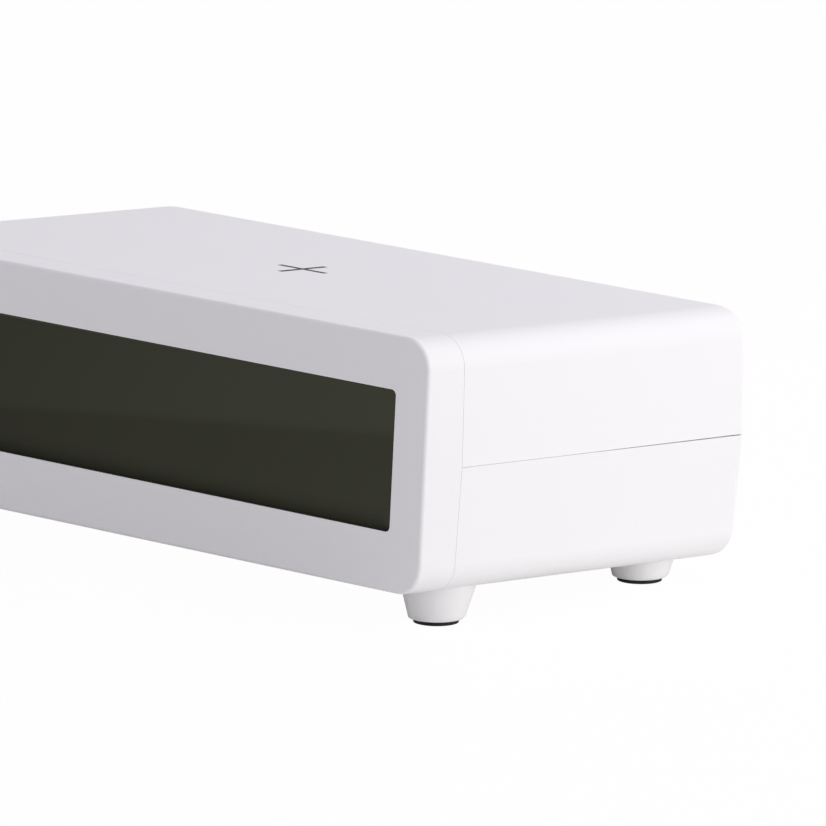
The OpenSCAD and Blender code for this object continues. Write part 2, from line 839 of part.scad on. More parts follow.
module board_screws() {
    color("silver") stance() for (p = board_holes) {
        rod(p, board_top, board_top + small_head_h, small_head_r);
        rod(p, board_z - small_bite, board_top + small_head_h, small_r);
    }
}

// Chips of one board, about its middle
module chips(list, half_w, half_d) {
    for (c = list) let (size = chip_pitch * c[1])
        translate([c[0][0] * half_w - size[0] / 2, c[0][1] * half_d - size[1] / 2, board_top]) cube(size);
}

module board_chips() {
    color("#202020") stance() {
        translate([0, main_back - main_d / 2, 0]) chips(main_chips, main_half, main_d / 2);
        translate([charger_x, charger_y, 0]) chips(charger_chips, charger_w / 2, charger_d / 2);
    }
}

// Oval shell of the inlet
module power_inlet() {
    color("silver") stance() along_y(usb_mouth - usb_l, usb_mouth) difference() {
        inlet_oval(0);
        inlet_oval(-usb_t);
    }
}

// Plate that closes the rear of the inlet's shell, with the tongue that stands in its mouth
module inlet_tongue() {
    plate_y = usb_mouth - usb_l;
    color("#151515") stance() {
        along_y(plate_y, plate_y + usb_plate) inlet_oval(-usb_t);
        along_y(plate_y + usb_plate / 2, usb_mouth - usb_t) translate([usb_x, usb_z])
            square([usb_w - usb_h + over, usb_tongue_t], center = true);
    }
}

module buzzer() {
    color("#151515") stance() difference() {
        rod([buzzer_x, buzzer_y], board_top, board_top + buzzer_h, buzzer_r);
        rod([buzzer_x, buzzer_y], board_top + buzzer_h / 2, board_top + buzzer_h + over, buzzer_port_r);
    }
}

module switch_bodies() {
    color("#2a2a2a") stance() at_buttons() difference() {
        translate([-switch_w / 2, switch_y - switch_d, board_top]) cube([switch_w, switch_d, switch_w]);
        along_y(switch_y - stem_in - button_travel - fit, switch_y + over) translate([0, control_z])
            circle(stem_r + fit / 2);
    }
}

// Stem of one switch, which a button's plunger presses
module stem(i) {
    color("#8a1c1c") stance() translate([button_x + i * button_pitch, 0, 0])
        along_y(switch_y - stem_in, stem_tip_y) translate([0, control_z]) circle(stem_r);
}

// Round button with a chamfered face, a flange that keeps it in and a plunger
module button(i) {
    color("white") stance() turned_y(button_x + i * button_pitch, control_z) polygon([
        [0, stem_tip_y], [plunger_r, stem_tip_y],
        [plunger_r, flange_y - flange_t], [flange_r, flange_y - flange_t],
        [flange_r, flange_y], [button_r, flange_y],
        [button_r, cap_y - button_chamfer], [button_r - button_chamfer, cap_y], [0, cap_y]
    ]);
}

// Charging stack

module coil_tray() {
    color("#303030") stance() translate([0, coil_y, tray_z]) linear_extrude(tray_t) difference() {
        rounded(tray_w, tray_d, tray_hole_edge);
        for (sx = [-1, 1], sy = [-1, 1])
            translate([sx * (tray_w / 2 - tray_hole_edge), sy * (tray_d / 2 - tray_hole_edge)])
                circle(small_r + screw_fit);
    }
}

module tray_screws() {
    color("silver") stance() for (p = tray_holes) {
        rod(p, tray_z - small_head_h, tray_z, small_head_r);
        rod(p, tray_z - small_head_h, coil_top, small_r);
    }
}

module ferrite_sheet() {
    color("#3a3a3c") stance() rod([0, coil_y], ferrite_z, coil_z, ferrite_r);
}

// Half turn of flat wire about a middle, on one side of the X axis
module half_turn(x, r, side) {
    translate([x, 0]) intersection() {
        difference() {
            circle(r + coil_wire / 2);
            circle(r - coil_wire / 2);
        }
        translate([-2 * r, side > 0 ? 0 : -2 * r]) square([4 * r, 2 * r]);
    }
}

// Spiral of half turns about two middles, half a step apart
module charging_coil() {
    color("#b87333") stance() translate([0, coil_y, coil_z]) linear_extrude(coil_t)
        for (i = [0:coil_turns - 1]) {
            half_turn(0, coil_r + i * coil_step, 1);
            half_turn(coil_step / 2, coil_r + (i + 0.5) * coil_step, -1);
        }
}

// Lead from a turn of the coil, over the tray's edge and down to the plug
module lead(from_x, y) {
    bend_x = lead_x - lead_bend;
    rod([from_x, y], coil_top, lead_z, lead_tail_r);
    translate([from_x - lead_r, y, lead_z]) rotate([0, 90, 0])
        cylinder(h = bend_x - from_x + lead_r, r = lead_r);
    translate([bend_x, y, lead_z - lead_bend]) rotate([90, 0, 0])
        rotate_extrude(angle = 90) translate([lead_bend, 0]) circle(lead_r);
    rod([lead_x, y], board_top + plug_h, lead_z - lead_bend, lead_r);
}

module coil_leads() {
    color("#c8a24a") stance() {
        lead(coil_r, coil_y + lead_half);
        lead(coil_end, coil_y - lead_half);
    }
}

module coil_plug() {
    color("ivory") stance() translate([lead_x - plug_w / 2, coil_y - plug_d / 2, board_top])
        cube([plug_w, plug_d, plug_h]);
}

// Ribbon

module display_ribbon() {
    start = display_back + socket_d;
    end = main_front + board_edge;
    line = [[start, ribbon_high], [start + ribbon_run, ribbon_high],
        [end - ribbon_run, ribbon_low], [end, ribbon_low]];
    color("#d8d8d0") stance() translate([ribbon_x - ribbon_w / 2, 0, 0]) rotate([90, 0, 90])
        linear_extrude(ribbon_w) polygon(concat(line, [for (p = turned(line)) [p[0], p[1] + ribbon_t]]));
}

module ribbon_sockets() {
    color("ivory") stance() {
        translate([ribbon_x - socket_w / 2, display_back, ribbon_high + (ribbon_t - socket_h) / 2])
            cube([socket_w, socket_d, socket_h]);
        translate([ribbon_x - socket_w / 2, main_front + board_edge, board_top])
            cube([socket_w, socket_d, socket_h]);
    }
}

// Back-up cell

module coin_cell() {
    color("silver") stance() {
        rod([cell_x, door_y], door_t, door_t + cell_t - cell_step, cell_r);
        rod([cell_x, door_y], door_t, door_t + cell_t, cell_r - 2 * cell_step);
    }
}

module cell_contacts() {
    color("#c9b46a") stance() translate([cell_x - contact_half, door_y - contact_w / 2, door_t + cell_t])
        cube([2 * contact_half, contact_w, contact_t]);
}

module cell_door() {
    color("white") stance() difference() {
        union() {
            linear_extrude(door_t) cell_bay_outline(0);
            translate([door_x - door_w / 2 - tab_l, door_y - tab_w / 2, door_t - tab_t])
                cube([tab_l + over, tab_w, tab_t]);
        }
        rod([door_screw_x, door_y], -over, door_t + over, small_r + screw_fit);
        rod([door_screw_x, door_y], -over, door_head_h, small_head_r + fit);
    }
}

module door_screw() {
    color("silver") stance() {
        rod([door_screw_x, door_y], 0, door_head_h, small_head_r);
        rod([door_screw_x, door_y], 0, door_t + small_bite - fit, small_r);
    }
}

front_bezel();
display_window();
light_mask();
digit_reflector();
digit_segments();
display_board();
display_screws();
upper_case();
lower_case();
foot(-1, foot_front_y);  // foot_front_left
foot(1, foot_front_y);  // foot_front_right
foot(-1, foot_rear_y);  // foot_rear_left
foot(1, foot_rear_y);  // foot_rear_right
pad(-1, foot_front_y);  // pad_front_left
pad(1, foot_front_y);  // pad_front_right
pad(-1, foot_rear_y);  // pad_rear_left
pad(1, foot_rear_y);  // pad_rear_right
case_screws();
main_board();
board_chips();
board_screws();
power_inlet();
inlet_tongue();
buzzer();
switch_bodies();
button(-2);  // mode_button
button(-1);  // alarm_button
button(0);  // down_button
button(1);  // up_button
button(2);  // light_button
stem(-2);  // mode_stem
stem(-1);  // alarm_stem
stem(0);  // down_stem
stem(1);  // up_stem
stem(2);  // light_stem
coil_tray();
tray_screws();
ferrite_sheet();
charging_coil();
coil_leads();
coil_plug();
charger_board();
display_ribbon();
ribbon_sockets();
coin_cell();
cell_contacts();
cell_door();
door_screw();
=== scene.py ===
"""Looks of a bedside alarm clock with a wireless charging top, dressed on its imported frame."""
import json
import math

import bmesh
import bpy
from mathutils import Matrix, Vector


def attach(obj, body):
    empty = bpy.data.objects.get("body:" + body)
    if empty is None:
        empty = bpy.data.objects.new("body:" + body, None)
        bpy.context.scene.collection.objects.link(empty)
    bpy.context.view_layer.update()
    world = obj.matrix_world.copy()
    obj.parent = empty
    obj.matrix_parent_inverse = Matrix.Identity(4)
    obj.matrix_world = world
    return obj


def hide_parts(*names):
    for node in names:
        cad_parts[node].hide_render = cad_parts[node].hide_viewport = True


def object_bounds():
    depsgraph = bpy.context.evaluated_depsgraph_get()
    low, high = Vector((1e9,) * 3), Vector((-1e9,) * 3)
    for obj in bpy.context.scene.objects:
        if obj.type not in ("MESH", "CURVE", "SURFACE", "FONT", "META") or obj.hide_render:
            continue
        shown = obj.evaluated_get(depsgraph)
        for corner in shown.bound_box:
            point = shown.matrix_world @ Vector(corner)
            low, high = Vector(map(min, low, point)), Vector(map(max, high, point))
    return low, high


MM = 0.001

# Camera, at the photograph's place
CAMERA_AZIMUTH = 44.138
CAMERA_ELEVATION = 10.997
CAMERA_ROLL = -0.65
CAMERA_DISTANCE = 2.325328
CAMERA_TARGET = Vector((-0.002608, 0.044629, 0.02411))
CAMERA_LENS = 444.391
CAMERA_SENSOR = 36.0
CAMERA_CLIP = (0.05, 50.0)

# Floor, with the share of plain white that the camera sees on it
FLOOR_RADIUS = 3.0
FLOOR_SIDES = 96
FLOOR_SINK = 0.02 * MM
FLOOR_COLOUR = (0.955, 0.955, 0.925)
FLOOR_WHITE_SEEN = 0.975
# Painted light that gloss mirrors on the floor beyond a line, as white for mirror rays only: its share, the
# direction across the line and where it rises
FLOOR_PAINTED_LIGHT_MIRRORED = 0.48
FLOOR_PAINTED_LIGHT_TOWARDS = (-0.776, -0.631, 0.0)
FLOOR_PAINTED_LIGHT_FADE = (0.328, 0.344)
# Painted shade that gloss mirrors ahead of the clock, standing in for its contact shadow: its share, and
# the distances from the front where it fades
FLOOR_PAINTED_SHADE_MIRRORED = 0.85
FLOOR_PAINTED_SHADE_FADE = (0.075, 0.16)
# Painted shade that gloss mirrors on the left of the floor: its share, the direction to the right and where
# it fades
FLOOR_LEFT_PAINTED_SHADE = 0.32
FLOOR_LEFT_ACROSS = (0.72, -0.69, 0.0)
FLOOR_LEFT_FADE = (-0.01, 0.1)
# Glow of the floor on one side: its strength, the side's direction and where it rises
FLOOR_GLOW = 0.038
FLOOR_GLOW_TOWARDS = (0.707, 0.707, 0.0)
FLOOR_GLOW_RISE = (0.0, 0.08)
# Glow of the floor under the clock: its strength, the oval's squeeze along y and where it fades
FLOOR_UNDER_GLOW = 0.12
FLOOR_UNDER_SQUEEZE = 1.8
FLOOR_UNDER_FADE = (0.03, 0.1)

# Light of the room and of the lamps
AMBIENT_COLOUR = (0.945, 0.935, 1.0)
AMBIENT_STRENGTH = 0.567
# Name, azimuth and elevation in degrees, distance, width, height, watts and colour
SOFTBOXES = [
    ("side_softbox", 100, 20, 1.3, 1.2, 1.0, 6.05, (1.0, 0.99, 0.94)),
    ("top_softbox", 145, 45, 0.65, 0.5, 0.5, 0.86, (0.97, 0.96, 1.0)),
]

# Shading of the CAD nodes
WELD_REACH = 0.0005 * MM
FLAT_ANGLE = math.radians(0.5)
SHARP_ANGLE = math.radians(32)
EDGE_BREAK_STEPS = 2

# Surface effects: counts and noise scales per metre, shares of a step, and reliefs
SKIN_GRAIN = 2600
SKIN_FLOW = 34
SKIN_SHADE = 11
METAL_GRAIN = 9000
METAL_STRETCH = (1.0, 0.03, 1.0)
METAL_TARNISH = 420
BOARD_PATCHES = (140, 140, 1)
BOARD_TRACKS = 820
BOARD_TRACK_SHARE = 0.45
BOARD_HOLES = 210
BOARD_HOLE_SHARE = 0.15
BOARD_RELIEF = 0.03 * MM
RIBBON_WIRES = 1000
RIBBON_WIRE_SHARE = 0.55
RIBBON_RELIEF = 0.04 * MM

# Printed and plated films
FILM_ROOT = 0.005 * MM
INK_FILM = 0.02 * MM
MARK_ARM = 7.3 * MM
MARK_LINE = 1.4 * MM
# Place of the mark from the middle of the top, to the right and to the rear
MARK_PLACE = (1.7 * MM, -1.8 * MM)
CONTACT_FILM = 0.03 * MM
CONTACT_COUNT = 6
CONTACT_WIDTH = 0.5 * MM
CONTACT_LENGTH = 3.2 * MM
CONTACT_EDGE = 0.4 * MM
LEG_FILM = 0.16 * MM
LEG_PITCH = 0.8 * MM
LEG_WIDTH = 0.38 * MM
LEG_LENGTH = 0.7 * MM

# Screws: counts of sides, steps and rows, and shares of the head, the shank or the length
SCREW_SIDES = 24
HEAD_STEPS = 5
HEAD_ROUND = 0.28
HEAD_ROUND_H = 0.6
RECESS_ARM = 0.62
RECESS_LINE = 0.15
RECESS_TAPER = 0.7
RECESS_DEPTH = 0.6
THREAD_PITCH = 0.8
THREAD_ROWS = 4
THREAD_DEPTH = 0.2
TIP_SHARE = 0.45
TIP_START = 0.99


# Frame

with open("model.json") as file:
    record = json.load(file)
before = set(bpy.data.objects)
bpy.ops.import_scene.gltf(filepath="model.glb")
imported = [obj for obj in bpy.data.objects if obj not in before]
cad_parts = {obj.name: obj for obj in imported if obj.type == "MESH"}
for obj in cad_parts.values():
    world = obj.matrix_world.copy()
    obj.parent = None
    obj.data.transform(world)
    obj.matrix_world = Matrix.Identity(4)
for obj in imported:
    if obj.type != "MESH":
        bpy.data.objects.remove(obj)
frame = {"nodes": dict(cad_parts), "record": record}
cad_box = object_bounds()
nodes = frame["nodes"]
mounts = {m["name"]: m for m in frame["record"]["mounts"]}
top_middle = Vector(mounts["charging_top"]["pos_m"])
body_up = Vector(mounts["charging_top"]["axis"]).normalized()
body_right = Vector((1, 0, 0))
body_rear = body_up.cross(body_right)


# Camera and studio

def towards(azimuth, elevation):
    """Unit vector from the object, where azimuth 0 is the front and 90 the right side."""
    a = math.radians(azimuth)
    e = math.radians(elevation)
    return Vector((math.sin(a) * math.cos(e), -math.cos(a) * math.cos(e), math.sin(e)))


def place_looking(obj, spot, target, roll=0.0):
    """Sets an object at a spot so that its -Z axis points at a target."""
    back = (spot - target).normalized()
    right = Vector((0, 0, 1)).cross(back).normalized()
    up = back.cross(right)
    c = math.cos(math.radians(roll))
    s = math.sin(math.radians(roll))
    columns = (right * c - up * s, up * c + right * s, back)
    turn = Matrix(columns).transposed().to_4x4()
    obj.matrix_world = Matrix.Translation(spot) @ turn


def link(obj):
    bpy.context.scene.collection.objects.link(obj)
    return obj


def make_camera():
    lens = bpy.data.cameras.new("photo_camera")
    lens.lens = CAMERA_LENS
    lens.sensor_width = CAMERA_SENSOR
    lens.clip_start, lens.clip_end = CAMERA_CLIP
    camera = link(bpy.data.objects.new("photo_camera", lens))
    spot = CAMERA_TARGET + towards(CAMERA_AZIMUTH, CAMERA_ELEVATION) * CAMERA_DISTANCE
    place_looking(camera, spot, CAMERA_TARGET, CAMERA_ROLL)
    bpy.context.scene.camera = camera


def make_softboxes():
    middle = (cad_box[0] + cad_box[1]) / 2
    for name, azimuth, elevation, distance, width, height, watts, colour in SOFTBOXES:
        lamp = bpy.data.lights.new(name, "AREA")
        lamp.shape = "RECTANGLE"
        lamp.size = width
        lamp.size_y = height
        lamp.energy = watts
        lamp.color = colour
        box = link(bpy.data.objects.new(name, lamp))
        place_looking(box, middle + towards(azimuth, elevation) * distance, middle)


# Node helpers

def put(tree, kind, inputs=None, **settings):
    """Adds a node, with its settings, and its inputs linked to sockets or set to values."""
    node = tree.nodes.new(kind)
    for key, value in settings.items():
        setattr(node, key, value)
    for key, value in (inputs or {}).items():
        if isinstance(value, bpy.types.NodeSocket):
            tree.links.new(value, node.inputs[key])
        else:
            node.inputs[key].default_value = value
    return node


def effect_group(name, inputs, outputs):
    """A shader node group with float inputs and outputs, its input node and its output node."""
    tree = bpy.data.node_groups.new(name, "ShaderNodeTree")
    for label, value in inputs.items():
        socket = tree.interface.new_socket(label, in_out="INPUT", socket_type="NodeSocketFloat")
        socket.default_value = value
    for label in outputs:
        tree.interface.new_socket(label, in_out="OUTPUT", socket_type="NodeSocketFloat")
    return tree, put(tree, "NodeGroupInput").outputs, put(tree, "NodeGroupOutput")


def product(tree, first, second):
    return put(tree, "ShaderNodeMath", {0: first, 1: second}, operation="MULTIPLY").outputs[0]


def white_to_lens(tree, seen, mirrored):
    """Share of plain white that camera, mirror and glass rays see."""
    path = put(tree, "ShaderNodeLightPath").outputs
    direct = put(tree, "ShaderNodeMath", {0: path["Is Camera Ray"], 1: path["Is Transmission Ray"]},
                 operation="MAXIMUM").outputs[0]
    shown = product(tree, direct, seen)
    glossy = product(tree, path["Is Glossy Ray"], mirrored)
    return put(tree, "ShaderNodeMath", {0: shown, 1: glossy}, operation="MAXIMUM").outputs[0]


def make_world():
    world = bpy.data.worlds.new("studio")
    bpy.context.scene.world = world
    world.use_nodes = True
    tree = world.node_tree
    tree.nodes.clear()
    ambient = put(tree, "ShaderNodeBackground",
                  {"Color": (*AMBIENT_COLOUR, 1), "Strength": AMBIENT_STRENGTH})
    white = put(tree, "ShaderNodeBackground", {"Color": (1, 1, 1, 1), "Strength": 1.0})
    mixed = put(tree, "ShaderNodeMixShader",
                {0: white_to_lens(tree, 1.0, 1.0), 1: ambient.outputs[0], 2: white.outputs[0]})
    put(tree, "ShaderNodeOutputWorld", {"Surface": mixed.outputs[0]})


def ramp(tree, distance, ends, values, soft=False):
    """A value that goes from one to another between two distances."""
    return put(tree, "ShaderNodeMapRange",
               {"Value": distance, "From Min": ends[0], "From Max": ends[1],
                "To Min": values[0], "To Max": values[1]},
               interpolation_type="SMOOTHSTEP" if soft else "LINEAR").outputs["Result"]


def ramp_along(tree, place, direction, ends, values, soft=False):
    """A value that goes from one to another along a direction."""
    along = put(tree, "ShaderNodeVectorMath", {0: place.outputs["Position"], 1: direction},
                operation="DOT_PRODUCT")
    return ramp(tree, along.outputs["Value"], ends, values, soft)


def ramp_round(tree, place, squeeze, ends, values):
    """A value that goes from one to another outwards from the origin, in ovals."""
    oval = put(tree, "ShaderNodeVectorMath", {0: place.outputs["Position"], 1: (1.0, squeeze, 1.0)},
               operation="MULTIPLY")
    reach = put(tree, "ShaderNodeVectorMath", {0: oval.outputs[0]}, operation="LENGTH")
    return ramp(tree, reach.outputs["Value"], ends, values)


def make_floor_white():
    """Pale floor, clear from below, with painted light and painted shade in what mirror rays see of it, and
    the weak glow that the clock needs.
    """
    paint = bpy.data.materials.new("floor_white")
    paint.use_nodes = True
    tree = paint.node_tree
    tree.nodes.clear()
    place = put(tree, "ShaderNodeNewGeometry")
    front = -cad_box[0].y
    to_front = (0, -1, 0)
    shade_from, shade_to = (front + gap for gap in FLOOR_PAINTED_SHADE_FADE)
    # Painted light: the floor seen by mirror rays turns whiter beyond a line
    far_painted_light = ramp_along(tree, place, FLOOR_PAINTED_LIGHT_TOWARDS, FLOOR_PAINTED_LIGHT_FADE, (0.0, FLOOR_PAINTED_LIGHT_MIRRORED),
                     soft=True)
    # Painted shadow: mirror rays see the floor ahead of the clock mixed towards black, fading out away from
    # the front
    ahead = ramp_along(tree, place, to_front, (front, shade_from), (0.0, 1.0))
    close_painted_shade = ramp_along(tree, place, to_front, (shade_from, shade_to), (FLOOR_PAINTED_SHADE_MIRRORED, 0.0))
    # Painted shade: mirror rays see the left of the floor darker
    left = ramp_along(tree, place, FLOOR_LEFT_ACROSS, FLOOR_LEFT_FADE, (FLOOR_LEFT_PAINTED_SHADE, 0.0))
    aside = ramp_along(tree, place, FLOOR_GLOW_TOWARDS, FLOOR_GLOW_RISE, (0.0, FLOOR_GLOW))
    under = ramp_round(tree, place, FLOOR_UNDER_SQUEEZE, FLOOR_UNDER_FADE, (FLOOR_UNDER_GLOW, 0.0))
    glow = put(tree, "ShaderNodeMath", {0: aside, 1: under}, operation="MAXIMUM").outputs[0]
    mirrored = product(tree, ahead, put(tree, "ShaderNodeLightPath").outputs["Is Glossy Ray"])

    lit = put(tree, "ShaderNodeBsdfDiffuse", {"Color": (*FLOOR_COLOUR, 1)})
    dark = put(tree, "ShaderNodeBsdfDiffuse", {"Color": (0, 0, 0, 1)})
    white = put(tree, "ShaderNodeEmission", {"Color": (1, 1, 1, 1), "Strength": 1.0})
    glowing = put(tree, "ShaderNodeEmission", {"Color": (1, 1, 1, 1), "Strength": glow})
    below = put(tree, "ShaderNodeBsdfTransparent")
    # Mixes the lit floor towards black, as painted shade for mirror rays ahead of the clock
    shaded = put(tree, "ShaderNodeMixShader",
                 {0: product(tree, close_painted_shade, mirrored), 1: lit.outputs[0], 2: dark.outputs[0]})
    ground = put(tree, "ShaderNodeAddShader", {0: shaded.outputs[0], 1: glowing.outputs[0]})
    share = white_to_lens(tree, FLOOR_WHITE_SEEN, far_painted_light)
    seen = put(tree, "ShaderNodeMixShader", {0: share, 1: ground.outputs[0], 2: white.outputs[0]})
    # Mixes all that mirror rays see of the floor towards black on the left, as painted shade
    top = put(tree, "ShaderNodeMixShader",
              {0: product(tree, left, mirrored), 1: seen.outputs[0], 2: dark.outputs[0]})
    both = put(tree, "ShaderNodeMixShader",
               {0: place.outputs["Backfacing"], 1: top.outputs[0], 2: below.outputs[0]})
    put(tree, "ShaderNodeOutputMaterial", {"Surface": both.outputs[0]})
    return paint


def make_floor():
    mesh = bpy.data.meshes.new("studio_floor")
    form = bmesh.new()
    bmesh.ops.create_circle(form, cap_ends=True, segments=FLOOR_SIDES, radius=FLOOR_RADIUS)
    form.to_mesh(mesh)
    form.free()
    mesh.materials.append(make_floor_white())
    floor = link(bpy.data.objects.new("studio_floor", mesh))
    floor.location.z = -FLOOR_SINK


# Shared surface effects

def drifting(tree, noise, amount, level):
    """A level that a noise moves up and down by half an amount."""
    centred = put(tree, "ShaderNodeMath", {0: noise.outputs["Fac"], 1: 0.5}, operation="SUBTRACT")
    moved = product(tree, centred.outputs[0], amount)
    return put(tree, "ShaderNodeMath", {0: moved, 1: level}, operation="ADD").outputs[0]


def make_moulded_skin():
    """Spark-eroded grain, with slow drifts in gloss and shade as on a moulded skin."""
    tree, given, out = effect_group(
        "moulded_skin",
        {"Grain per metre": SKIN_GRAIN, "Roughness": 0.5, "Roughness drift": 0.05},
        ("Height", "Roughness", "Shade"))
    place = put(tree, "ShaderNodeTexCoord").outputs["Object"]
    grain = put(tree, "ShaderNodeTexNoise",
                {"Vector": place, "Scale": given["Grain per metre"], "Detail": 3.0, "Roughness": 0.6})
    flow = put(tree, "ShaderNodeTexNoise", {"Vector": place, "Scale": SKIN_FLOW, "Detail": 2.0})
    shade = put(tree, "ShaderNodeTexNoise", {"Vector": place, "Scale": SKIN_SHADE, "Detail": 3.0})
    tree.links.new(grain.outputs["Fac"], out.inputs["Height"])
    tree.links.new(drifting(tree, flow, given["Roughness drift"], given["Roughness"]),
                   out.inputs["Roughness"])
    tree.links.new(shade.outputs["Fac"], out.inputs["Shade"])
    return tree


def make_drawn_metal():
    """Fine lines that drawing and rolling leave in metal, with a patchy tarnish."""
    tree, given, out = effect_group(
        "drawn_metal",
        {"Grain per metre": METAL_GRAIN, "Roughness": 0.3, "Roughness drift": 0.2},
        ("Height", "Roughness", "Shade"))
    place = put(tree, "ShaderNodeTexCoord").outputs["Object"]
    stretched = put(tree, "ShaderNodeVectorMath", {0: place, 1: METAL_STRETCH}, operation="MULTIPLY")
    lines = put(tree, "ShaderNodeTexNoise",
                {"Vector": stretched.outputs[0], "Scale": given["Grain per metre"], "Detail": 2.0})
    tarnish = put(tree, "ShaderNodeTexNoise", {"Vector": place, "Scale": METAL_TARNISH, "Detail": 4.0})
    tree.links.new(lines.outputs["Fac"], out.inputs["Height"])
    tree.links.new(drifting(tree, lines, given["Roughness drift"], given["Roughness"]),
                   out.inputs["Roughness"])
    tree.links.new(tarnish.outputs["Fac"], out.inputs["Shade"])
    return tree


# Finishes

def plain_finish(name, **sockets):
    """A material with a principled shader whose constant sockets are set, its tree and its shader."""
    paint = bpy.data.materials.new(name)
    paint.use_nodes = True
    tree = paint.node_tree
    shader = tree.nodes["Principled BSDF"]
    for label, value in sockets.items():
        shader.inputs[label.replace("_", " ")].default_value = value
    return paint, tree, shader


def tone_between(tree, share, light, dark):
    """Colour between two, which are colours or sockets, by a share."""
    tone = put(tree, "ShaderNodeMix", {"Factor": share}, data_type="RGBA")
    for slot, colour in ((6, light), (7, dark)):
        if isinstance(colour, bpy.types.NodeSocket):
            tree.links.new(colour, tone.inputs[slot])
        else:
            tone.inputs[slot].default_value = (*colour, 1)
    return tone.outputs[2]


def skinned(name, skin, light, dark, roughness, grain, depth, drift, **sockets):
    """A material whose tone, gloss and relief follow a shared effect."""
    paint, tree, shader = plain_finish(name, **sockets)
    effect = put(tree, "ShaderNodeGroup",
                 {"Grain per metre": grain, "Roughness": roughness, "Roughness drift": drift},
                 node_tree=skin)
    relief = put(tree, "ShaderNodeBump", {"Height": effect.outputs["Height"], "Distance": depth})
    tree.links.new(tone_between(tree, effect.outputs["Shade"], light, dark), shader.inputs["Base Color"])
    tree.links.new(effect.outputs["Roughness"], shader.inputs["Roughness"])
    tree.links.new(relief.outputs["Normal"], shader.inputs["Normal"])
    return paint


def moulded(name, light, dark, roughness, grain=SKIN_GRAIN, depth=0.02 * MM, drift=0.06, **sockets):
    return skinned(name, MOULDED_SKIN, light, dark, roughness, grain, depth, drift, **sockets)


def drawn(name, light, dark, roughness, grain=METAL_GRAIN, depth=0.004 * MM, drift=0.2, **sockets):
    return skinned(name, DRAWN_METAL, light, dark, roughness, grain, depth, drift, Metallic=1.0, **sockets)


def stepped(tree, value, per_metre, share):
    """Stripes of a coordinate, as a mask that is one over a share of each step."""
    part = put(tree, "ShaderNodeMath", {0: product(tree, value, per_metre)}, operation="FRACT")
    return put(tree, "ShaderNodeMath", {0: part.outputs[0], 1: share}, operation="LESS_THAN").outputs[0]


def make_board_laminate():
    """Green solder mask over patches of parallel tracks, with tinned holes."""
    paint, tree, shader = plain_finish("board_laminate")
    place = put(tree, "ShaderNodeTexCoord").outputs["Object"]
    split = put(tree, "ShaderNodeSeparateXYZ", {0: place}).outputs
    run = put(tree, "ShaderNodeMath", {0: split["Y"], 1: split["Z"]}, operation="ADD").outputs[0]
    flat = put(tree, "ShaderNodeCombineXYZ", {"X": split["X"], "Y": run}).outputs[0]
    sized = put(tree, "ShaderNodeVectorMath", {0: flat, 1: BOARD_PATCHES}, operation="MULTIPLY")
    patch = put(tree, "ShaderNodeVectorMath", {0: sized.outputs[0]}, operation="FLOOR")
    chance = put(tree, "ShaderNodeTexWhiteNoise", {"Vector": patch.outputs[0]})
    turned = put(tree, "ShaderNodeMath", {0: chance.outputs["Value"], 1: 0.5}, operation="GREATER_THAN")
    across = stepped(tree, split["X"], BOARD_TRACKS, BOARD_TRACK_SHARE)
    along = stepped(tree, run, BOARD_TRACKS, BOARD_TRACK_SHARE)
    track = put(tree, "ShaderNodeMix", {0: turned.outputs[0], 2: across, 3: along}).outputs[0]
    spots = put(tree, "ShaderNodeTexVoronoi", {"Vector": flat, "Scale": BOARD_HOLES, "Randomness": 0.7})
    hole = put(tree, "ShaderNodeMath", {0: spots.outputs["Distance"], 1: BOARD_HOLE_SHARE},
               operation="LESS_THAN")
    height = put(tree, "ShaderNodeMath", {0: track, 1: hole.outputs[0]}, operation="MAXIMUM")
    relief = put(tree, "ShaderNodeBump", {"Height": height.outputs[0], "Distance": BOARD_RELIEF})
    masked = tone_between(tree, track, (0.008, 0.060, 0.024), (0.014, 0.105, 0.036))
    gloss = put(tree, "ShaderNodeMapRange", {"Value": height.outputs[0], "To Min": 0.42, "To Max": 0.28})
    tree.links.new(tone_between(tree, hole.outputs[0], masked, (0.60, 0.58, 0.54)),
                   shader.inputs["Base Color"])
    tree.links.new(hole.outputs[0], shader.inputs["Metallic"])
    tree.links.new(gloss.outputs["Result"], shader.inputs["Roughness"])
    tree.links.new(relief.outputs["Normal"], shader.inputs["Normal"])
    return paint


def make_ribbon_film():
    """Pale film with parallel conductors that show through it."""
    paint, tree, shader = plain_finish("ribbon_film", Roughness=0.38)
    place = put(tree, "ShaderNodeTexCoord").outputs["Object"]
    split = put(tree, "ShaderNodeSeparateXYZ", {0: place}).outputs
    wire = stepped(tree, split["X"], RIBBON_WIRES, RIBBON_WIRE_SHARE)
    relief = put(tree, "ShaderNodeBump", {"Height": wire, "Distance": RIBBON_RELIEF})
    tree.links.new(tone_between(tree, wire, (0.74, 0.73, 0.68), (0.46, 0.45, 0.42)),
                   shader.inputs["Base Color"])
    tree.links.new(relief.outputs["Normal"], shader.inputs["Normal"])
    return paint


def dress(node, paint):
    slots = nodes[node].data.materials
    slots.clear()
    slots.append(paint)


# Shading of the CAD nodes

